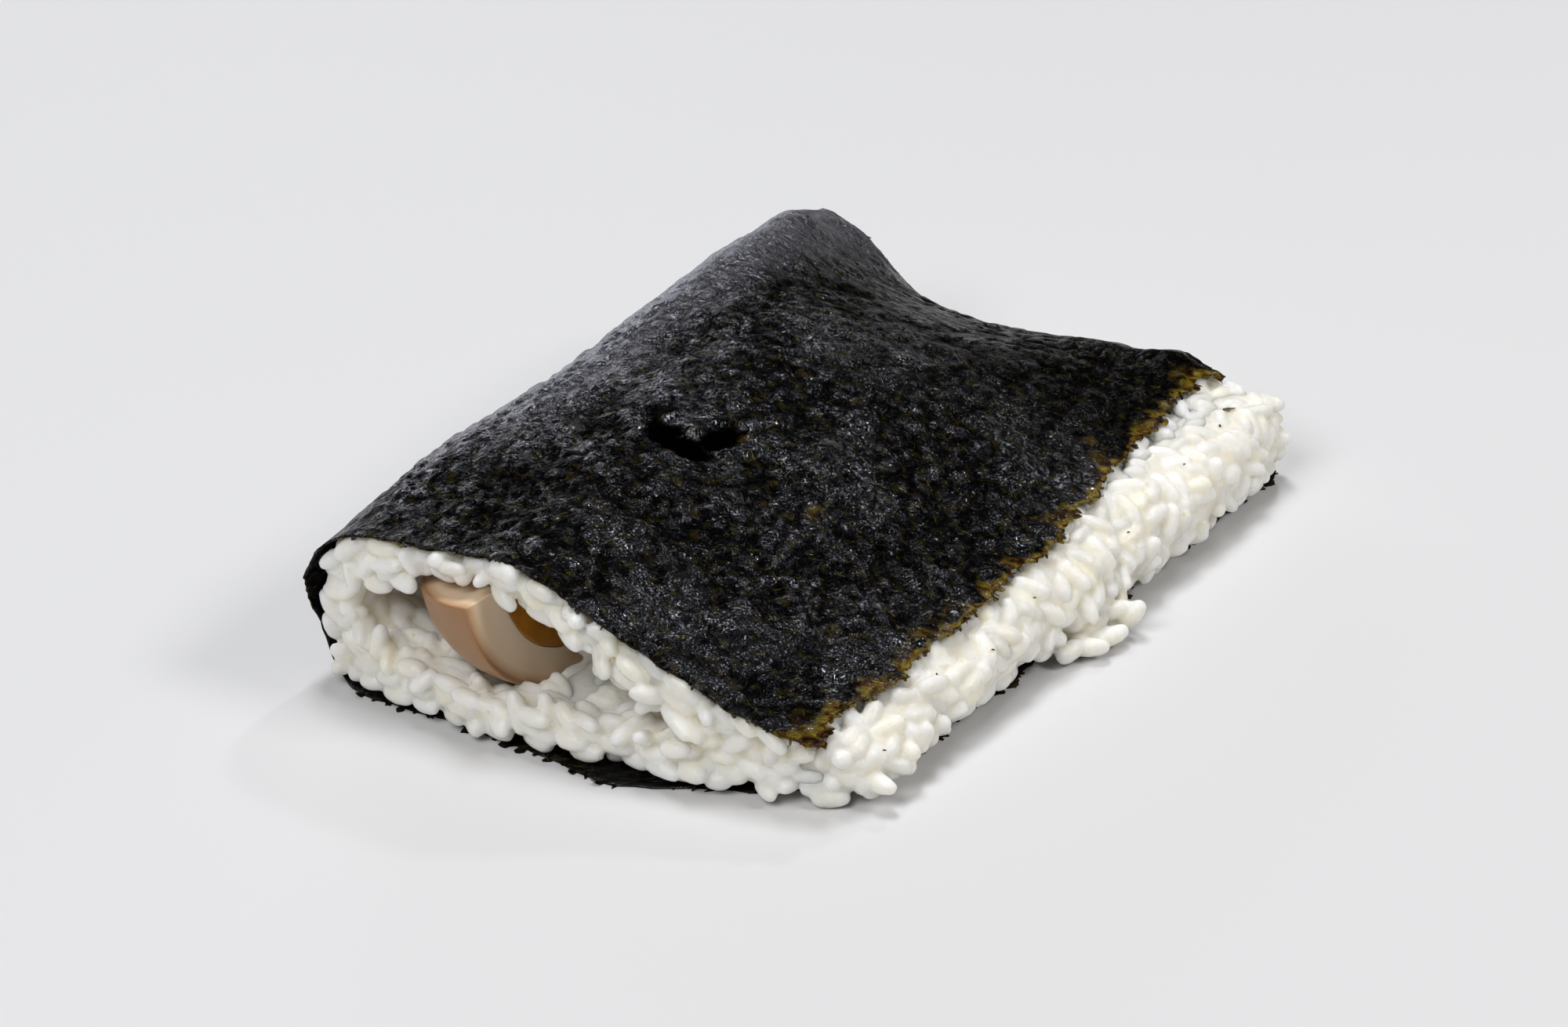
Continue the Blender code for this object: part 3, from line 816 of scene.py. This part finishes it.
def hang(points):
    """How far the clump stands out of the side at each point."""
    out = CLUMP * np.exp(-((points[:, 1] + MIDDLE[1] - CLUMP_Y) / CLUMP_WIDTH) ** 2)
    return out * (1 - smooth(CLUMP_FULL, CLUMP_TOP, points[:, 2]))


def beside_egg(points, up):
    """How far the lower layer has sunk beside the egg."""
    x, y, reach, depth = BESIDE_EGG
    return depth * MM * near(points, x, y, reach) * smooth(0.2, 0.6, up)


def bare_sites(draw):
    """Points on the bed where it lies bare or nearly so, and the way out there."""
    mesh = nodes["rice"].data
    triangles = np.array([face.vertices for face in mesh.polygons])
    first, second, third = (points_of(mesh)[triangles[:, corner]] for corner in range(3))
    way = np.cross(second - first, third - first)
    area = np.linalg.norm(way, axis=1)
    way /= np.maximum(area, 1e-12)[:, None]
    chosen = draw.choice(len(triangles), size=SITES, p=area / area.sum())
    one = draw.random(SITES) ** 0.5
    two = draw.random(SITES)
    spots = ((1 - one)[:, None] * first[chosen] + (one * (1 - two))[:, None] * second[chosen]
             + (one * two)[:, None] * third[chosen])
    ways = way[chosen]
    spots[:, 0] -= hang(spots) * (spots[:, 0] > SIDE_FROM)
    sheet = tree_of(nodes["nori"])
    away = np.array([sheet.find_nearest(Vector(spot))[3] for spot in spots])
    bare = away > BARE_FROM
    grid = KDTree(int(bare.sum()))
    for number, spot in enumerate(spots[bare]):
        grid.insert(spot, number)
    grid.balance()
    used = np.array([grid.find(spot)[2] < UNDERLAP for spot in spots])
    used &= (spots[:, 0] > SIDE_SITES) | (spots[:, 1] < DEEPEST) | (spots[:, 1] > BACK_FROM)
    return spots[used], ways[used]


def beads_of(matrix):
    return [matrix @ Vector((0, BEAD * step, 0)) for step in range(-3, 4)]


def pack_grains(spots, ways, draw, solids):
    """Lay grains on the sites in layers, as tight as soft grains lie."""
    cells = {}
    placed = []
    for x, y, z, heading, climb, kind in LOOSE_GRAINS:
        turn = Matrix.Rotation(radians(heading) - 0.5 * pi, 4, "Z") @ Matrix.Rotation(radians(climb), 4, "X")
        matrix = Matrix.Translation(Vector((x, y, z)) * MM) @ turn @ Matrix.Scale(LOOSE_SIZE, 4)
        settle(matrix, kind, cells, placed, draw)
    for depth, tries in LAYERS:
        for number in draw.integers(0, len(spots), tries):
            out = Vector(ways[number])
            size = 1 + SIZE_SPREAD * np.clip(draw.standard_normal(), -1.5, 1.5)
            lie = out.orthogonal().normalized()
            lie.rotate(Quaternion(out, tau * draw.random()))
            lie = (lie + out * draw.normal(0, TIP_SPREAD)).normalized()
            off_table = float(smooth(3 * MM, 9 * MM, spots[number][2]))
            lie.z *= mix(0.4, 1, abs(out.z)) * mix(0.25, 1, off_table)
            lie.y *= mix(1, 0.3, float(spots[number][1] < AT_MOUTH))
            lie.normalize()
            middle = Vector(spots[number]) - out * (depth + DEPTH_SPREAD * draw.standard_normal())
            turn = lie.to_track_quat("Y", "Z") @ Quaternion((0, 1, 0), tau * draw.random())
            matrix = Matrix.Translation(middle) @ turn.to_matrix().to_4x4() @ Matrix.Scale(size, 4)
            if not blocked(beads_of(matrix), cells, solids):
                settle(matrix, int(draw.integers(0, len(GRAIN_KINDS))), cells, placed, draw)
    return placed


def settle(matrix, kind, cells, placed, draw):
    for bead in beads_of(matrix)[1:-1]:
        cells.setdefault(cell_of(bead), []).append(bead)
    placed.append((kind, matrix, float(draw.random())))


def cell_of(point):
    return tuple(int(part // CELL) for part in point)


def blocked(beads, cells, solids):
    """Whether a row of beads would lie in its neighbours, a solid or the table."""
    low, high = cad_box
    for bead, radius in zip(beads, BEAD_RADII):
        if any(bead[axis] - radius < low[axis] or bead[axis] + radius > high[axis] for axis in range(3)):
            return True
        if any(solid.find_nearest(bead)[3] < radius + gap for gap, solid in zip(SPARE, solids)):
            return True
    for bead in beads[1:-1]:
        for cell in product(*((part - 1, part, part + 1) for part in cell_of(bead))):
            for other in cells.get(cell, ()):
                if (other - bead).length_squared < APART * APART:
                    return True
    return False


def mass(name, depth):
    """The bed's own solid, drawn in by a depth all round."""
    mesh = nodes["rice"].data.copy()
    mesh.name = name
    piece = new_object(mesh)
    apply_modifier(piece, "WELD", merge_threshold=0.00001)
    apply_modifier(piece, "REMESH", mode="VOXEL", voxel_size=MASS_VOXEL)
    apply_modifier(piece, "DISPLACE", strength=-depth, mid_level=0)
    apply_modifier(piece, "REMESH", mode="VOXEL", voxel_size=MASS_VOXEL, use_smooth_shade=True)
    points = points_of(piece.data)
    points[:, 0] -= HANG_SINK * hang(points) * (points[:, 0] > SIDE_FROM)
    points[:, 2] -= DENT_DEPTH * dent(points)
    set_points(piece.data, points)
    return piece


def build_core():
    """The mass of rice behind the grains that show."""
    core = mass("rice_core", CORE_DEPTH)
    coat(core, steamed_rice("rice_core_steamed"))
    return core


def in_hollow(place):
    """Whether a grain lies in the hollow beside the egg."""
    deep = beside_egg(np.array([place]), 1)[0] > HOLLOW_EDGE
    return deep and HOLLOW_FLOOR < place.z < HOLLOW_ROOF


def heap_of(place):
    if place.x > SIDE_FROM and place.y > SIDE_FRONT:
        return "rice_grains_side"
    return "rice_grains_mouth" if place.y < 0 else "rice_grains_back"


def build_rice(seaweed):
    """The core, and the three heaps of grains that show round it."""
    draw = np.random.default_rng(7)
    kinds = [grain_kind(*kind) for kind in GRAIN_KINDS]
    spots, ways = bare_sites(draw)
    solids = [tree_of(piece) for piece in (seaweed, nodes["egg_white"], nodes["egg_yolk"])]
    groups = {name: [] for name in HEAPS}
    for grain in pack_grains(spots, ways, draw, solids):
        if not in_hollow(grain[1].translation):
            groups[heap_of(grain[1].translation)].append(grain)
    surface = steamed_rice("steamed_short_grain_rice")
    heaps = []
    for name, group in groups.items():
        piece = heap(name, kinds, group, surface)
        fuse(piece, *HEAPS[name][1:3])
        tell_apart(piece, group)
        heaps.append(piece)
    return [build_core()] + heaps


# ---- finishes ----

def add(tree, kind, settings, links=None, output=0):
    """Add a node with its settings and links, and return its output."""
    node = tree.nodes.new("ShaderNode" + kind)
    for name, value in settings.items():
        if isinstance(name, str) and hasattr(node, name):
            setattr(node, name, value)
        else:
            node.inputs[name].default_value = value
    for name, source in (links or {}).items():
        tree.links.new(source, node.inputs[name])
    return node.outputs[output]


def finish(name, settings, glow=()):
    """A new material, with its even values and its glow from within, and its node tree."""
    material = bpy.data.materials.new(name)
    material.use_nodes = True
    tree = material.node_tree
    settings |= zip(("Subsurface Weight", "Subsurface Radius", "Subsurface Scale"), glow)
    for socket, value in settings.items():
        tree.nodes["Principled BSDF"].inputs[socket].default_value = value
    return material, tree


def give(tree, socket, source):
    """Link a node's output to the shader."""
    tree.links.new(source, tree.nodes["Principled BSDF"].inputs[socket])


def ramp(tree, stops, factor):
    """A colour ramp through (place, sRGB hex) stops."""
    colour = add(tree, "ValToRGB", {}, {"Fac": factor})
    band = colour.node.color_ramp.elements
    while len(band) < len(stops):
        band.new(0.5)
    for element, (place, code) in zip(band, stops):
        element.position = place
        element.color = linear(code)
    return colour


def kept(tree, name):
    """A value that the mesh keeps for each point."""
    return add(tree, "Attribute", {"attribute_name": name}, output="Fac")


def clouds(tree, place, scale, detail, rough=0.5):
    """Random clouds from 0 to 1, so many to a unit of the places."""
    return add(tree, "TexNoise", {"Scale": scale, "Detail": detail, "Roughness": rough}, {"Vector": place})


def spread(tree, value, low, high, start=0, end=1):
    """A value from low to high, turned into one from start to end."""
    ends = {"From Min": low, "From Max": high, "To Min": start, "To Max": end}
    return add(tree, "MapRange", ends, {"Value": value})


def calc(tree, operation, *values):
    """A sum on numbers and outputs, in the order of the node's sockets."""
    numbers = {socket: value for socket, value in enumerate(values) if isinstance(value, (int, float))}
    links = {socket: value for socket, value in enumerate(values) if socket not in numbers}
    return add(tree, "Math", {"operation": operation, **numbers}, links)


def blend(tree, share, first, second):
    """From the first colour to the second, each an output or an sRGB hex value."""
    ends = {6: first, 7: second}
    fixed = {socket: linear(end) for socket, end in ends.items() if isinstance(end, str)}
    links = {socket: end for socket, end in ends.items() if socket not in fixed}
    return add(tree, "Mix", {"data_type": "RGBA", **fixed}, {"Factor": share, **links}, 2)


def own_place(tree):
    """Places in the frame, in metres."""
    return add(tree, "TexCoord", {}, output="Object")


def flat_place(tree):
    """Places on the sheet laid flat, in mm, swayed so that no strand runs straight."""
    span = SHEET_SPAN / MM
    flat = add(tree, "UVMap", {"uv_map": "UVMap"})
    flat = add(tree, "Mapping", {"Scale": (span, span, span)}, {"Vector": flat})
    sway = add(tree, "TexNoise", {"Scale": 0.35, "Detail": 2}, {"Vector": flat}, "Color")
    by = {"operation": "MULTIPLY_ADD", 1: (2.6, 2.6, 0)}
    return add(tree, "VectorMath", by, {0: sway, 2: flat})


def strands(tree, flat, lies, low, high):
    """Fine strands that cross: 1 on a strand, 0 between."""
    both = None
    for number, (length, width, degrees) in enumerate(lies):
        lie = add(tree, "Mapping", {
            "vector_type": "TEXTURE", "Location": (31 * number, 17 * number, 0),
            "Rotation": (0, 0, radians(degrees)), "Scale": (length, width, 1)}, {"Vector": flat})
        grain = add(tree, "TexNoise", {"Scale": 1, "Detail": 1, "Distortion": 0.15}, {"Vector": lie})
        strand = spread(tree, grain, low, high)
        both = strand if both is None else calc(tree, "MAXIMUM", both, strand)
    return both


def laver_colour(tree, dyes, fibres, hairs, wet):
    """Near black, with coloured fibres and paler hairs, and the torn edge's browns."""
    body = ramp(tree, ((0.45, "#010101"), (0.59, "#040302"), (0.67, "#201c06"), (0.76, "#33260a")), dyes)
    dye = ramp(tree, ((0.4, "#0b0c0e"), (0.54, "#0b0b0a"), (0.6, "#262307"), (0.66, "#22130a"),
                      (0.74, "#0b0c0e")), dyes)
    straw = ramp(tree, ((0.42, "#191a1d"), (0.52, "#201f18"), (0.58, "#4f4a1c"), (0.7, "#2e2614")), dyes)
    woven = blend(tree, calc(tree, "MULTIPLY", fibres, 0.6), body, dye)
    woven = blend(tree, wet, blend(tree, hairs, woven, straw), "#010101")
    return blend(tree, spread(tree, kept(tree, "fray"), 0.25, 0.8), woven, ramp(tree, TORN, dyes))


def laver_shine(tree, flat, patch, wet, painted_sheen):
    """Patchy; dimmed in the hollows as painted shade and on the back slope; painted black inside the dent,
    with painted glints round its rim; and a painted sheen veiled along the fold.
    """
    # Painted shade: the shine is dimmed in the hollows.
    glaze_and_hollow_shade = calc(tree, "MULTIPLY_ADD", kept(tree, "hollow"), -0.18, clouds(tree, flat, 0.36, 5, 0.65))
    # Painted glints round the dent's rim, and painted black inside it, through the shine.
    dent_painted_glints = ramp(tree, ((0, "#898989"), (0.2, "#ffffff"), (0.5, "#9a9a9a"), (0.8, "#242424"),
                           (0.97, "#000000")), wet)
    shine = calc(tree, "MULTIPLY", spread(tree, glaze_and_hollow_shade, 0.32, 0.62, 0.03, 0.8), painted_sheen)
    shine = calc(tree, "MULTIPLY", shine, dent_painted_glints)
    shine = calc(tree, "MULTIPLY", shine, spread(tree, patch, 0.38, 0.66, 2.2, 9))
    # A painted sheen veiled along the fold.
    return calc(tree, "MAXIMUM", shine, spread(tree, painted_sheen, 0.9, 2.3, 0, 2.2))


def laver_roughness(tree, patch, wet, painted_sheen):
    """Smoother in patches and where it is wet, and satin along the fold."""
    rough = spread(tree, patch, 0.35, 0.65, 0.22, 0.13)
    rough = calc(tree, "MULTIPLY", rough, spread(tree, wet, 0, 1, 1, 0.35))
    return calc(tree, "ADD", rough, spread(tree, painted_sheen, 0.9, 2.3, 0, 0.2))


def laver_relief(tree, flat, fibres, hairs, wet):
    """Fine crinkle with fibres standing out of it, calmer where it is wet."""
    height = calc(tree, "MULTIPLY_ADD", fibres, 0.12, clouds(tree, flat, 0.55, 2.5))
    height = calc(tree, "MULTIPLY_ADD", hairs, 0.05, height)
    calm = spread(tree, wet, 0, 1, 1, 0.6)
    return add(tree, "Bump", {"Distance": BUMP}, {"Height": height, "Strength": calm})


def damp_seaweed():
    """Pressed laver, damp from the rice: near black and felted from fine crossing fibres, silver grey where
    they catch the light, amber where it is torn, and wet black in its dent, with painted black inside it,
    painted glints round its rim and a painted sheen along the fold."""
    material, tree = finish("damp_pressed_laver", {"IOR": 1.45, "Specular Tint": linear("#f0f1ff")})
    flat = flat_place(tree)
    wet = kept(tree, "wet")
    painted_sheen = kept(tree, "painted_sheen")
    fibres = strands(tree, flat, FIBRES, 0.58, 0.68)
    hairs = strands(tree, flat, HAIRS, 0.67, 0.72)
    patch = clouds(tree, flat, 0.16, 3)
    dyes = clouds(tree, flat, 0.45, 3)
    give(tree, "Base Color", laver_colour(tree, dyes, fibres, hairs, wet))
    give(tree, "Specular IOR Level", laver_shine(tree, flat, patch, wet, painted_sheen))
    give(tree, "Roughness", laver_roughness(tree, patch, wet, painted_sheen))
    give(tree, "Normal", laver_relief(tree, flat, fibres, hairs, wet))
    return material


def torn_seaweed():
    """Scraps of the same laver, thin enough that light comes through."""
    material, tree = finish("torn_thin_laver", {
        "IOR": 1.45, "Roughness": 0.35, "Specular IOR Level": 0.3}, (0.3, (1, 0.8, 0.2), 0.8 * MM))
    torn = ramp(tree, TORN, clouds(tree, own_place(tree), 1 / (2.4 * MM), 2))
    give(tree, "Base Color", blend(tree, kept(tree, "fray"), "#060606", torn))
    return material


def steamed_rice(name):
    """Steamed rice: moist, milky, translucent, creamier in the clefts, with specks of bran."""
    material, tree = finish(name, {
        "IOR": 1.42, "Roughness": 0.22, "Specular IOR Level": 0.38}, (0.9, (1, 0.92, 0.8), 4.6 * MM))
    place = own_place(tree)
    milky = ((0, "#dcdbd4"), (0.35, "#edebe4"), (0.8, "#f7f5ef"), (1, "#f4eeda"))
    grains = ramp(tree, milky, kept(tree, "tint"))
    paste = blend(tree, kept(tree, "cleft"), grains, "#efe9da")
    specks = spread(tree, clouds(tree, place, 1 / (1.8 * MM), 1), 0.74, 0.86)
    give(tree, "Base Color", blend(tree, specks, paste, "#d9c690"))
    uneven = clouds(tree, place, 1 / (1.1 * MM), 4, 0.65)
    bump = add(tree, "Bump", {"Strength": 0.8, "Distance": 0.22 * MM}, {"Height": uneven})
    give(tree, "Normal", bump)
    return material


def egg_reach(tree, radius, half):
    """How far out a point lies, from 0 in the egg's middle to 1 at its outside."""
    own = add(tree, "Mapping", {
        "vector_type": "TEXTURE", "Location": egg_place((0, 0, 0)), "Rotation": egg_lie().to_euler(),
        "Scale": (radius, half, radius)}, {"Vector": own_place(tree)})
    return add(tree, "VectorMath", {"operation": "LENGTH"}, {0: own}, "Value")


def stained_egg_white():
    """Egg white steeped in soy: smooth and tan, browner towards its skin from the stain, and browner towards
    the yolk, partly stain and partly painted shade.
    """
    material, tree = finish("soy_stained_egg_white", {"IOR": 1.38, "Roughness": 0.34},
                            (0.35, (1, 0.6, 0.4), 1.5 * MM))
    skin = ramp(tree, ((0.7, "#ead6bd"), (0.92, "#e3c9ab"), (0.985, "#bd9670"), (1, "#9a7450")),
                egg_reach(tree, EGG_RADIUS, EGG_HALF))
    # Partly painted shade: the white darkens to brown round the yolk.
    yolk_stain_and_shade = ramp(tree, ((0.98, "#7a4714"), (1.06, "#c69a66"), (1.22, "#ffffff")),
                egg_reach(tree, YOLK_RADIUS, YOLK_HALF))
    colour = add(tree, "Mix", {"data_type": "RGBA", "blend_type": "MULTIPLY", "Factor": 1},
                 {6: skin, 7: yolk_stain_and_shade}, 2)
    give(tree, "Base Color", colour)
    return material


def soft_yolk():
    """Yolk steeped soft: deep amber, a little uneven."""
    material, tree = finish("soft_amber_yolk", {"IOR": 1.42, "Roughness": 0.4},
                            (0.4, (1, 0.45, 0.12), 1.5 * MM))
    cloud = clouds(tree, own_place(tree), 1 / (4 * MM), 3)
    give(tree, "Base Color", ramp(tree, ((0.3, "#9a5f14"), (0.7, "#b97c1c")), cloud))
    return material


def pale_floor():
    """A smooth pale table."""
    settings = {"Base Color": linear("#d6d6d7"), "Roughness": 0.6, "Specular IOR Level": 0.2}
    return finish("pale_table", settings)[0]


# ---- the studio ----

def build_floor():
    deselect()
    bpy.ops.mesh.primitive_plane_add(size=8)
    floor = bpy.context.object
    floor.name = "table"
    floor.data.materials.append(pale_floor())


def area_light(name, place, size, power, colour):
    """A soft panel that faces the food."""
    data = bpy.data.lights.new(name, "AREA")
    data.shape = "ELLIPSE"
    data.size, data.size_y = size
    data.energy = power
    data.color = linear(colour)[:3]
    lamp = new_object(data)
    lamp.location = place
    lamp.rotation_euler = (lamp.location - AIM).to_track_quat("Z", "Y").to_euler()


def build_light():
    """The panels, and a faint even sky."""
    for panel in LIGHTS:
        area_light(*panel)
    world = bpy.data.worlds.new("studio")
    world.use_nodes = True
    sky = world.node_tree.nodes["Background"]
    sky.inputs["Color"].default_value = linear(SKY)
    sky.inputs["Strength"].default_value = SKY_STRENGTH
    bpy.context.scene.world = world
    bpy.context.scene.view_settings.view_transform = "Standard"


def build_camera():
    """The camera, which looks at AIM, rolled a little."""
    data = bpy.data.cameras.new("camera")
    data.lens = LENS
    camera = new_object(data)
    behind = Vector((sin(AZIMUTH) * cos(ELEVATION), -cos(AZIMUTH) * cos(ELEVATION), sin(ELEVATION)))
    camera.location = AIM + behind * DISTANCE
    look = behind.to_track_quat("Z", "Y").to_matrix() @ Matrix.Rotation(ROLL, 3, "Z")
    camera.rotation_euler = look.to_euler()
    bpy.context.scene.camera = camera


def main():
    build_camera()
    build_light()
    build_floor()
    seaweed, rims = build_seaweed()
    white, yolk = build_egg()
    rice = build_rice(seaweed)
    scraps = build_scraps(rims, tree_of(*rice, seaweed))
    pairs = [(seaweed, "nori"), (scraps, "nori"), (white, "egg_white"), (yolk, "egg_yolk")]
    for piece, node in pairs + [(part, "rice") for part in rice]:
        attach(piece, "root")
        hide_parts(node)


main()
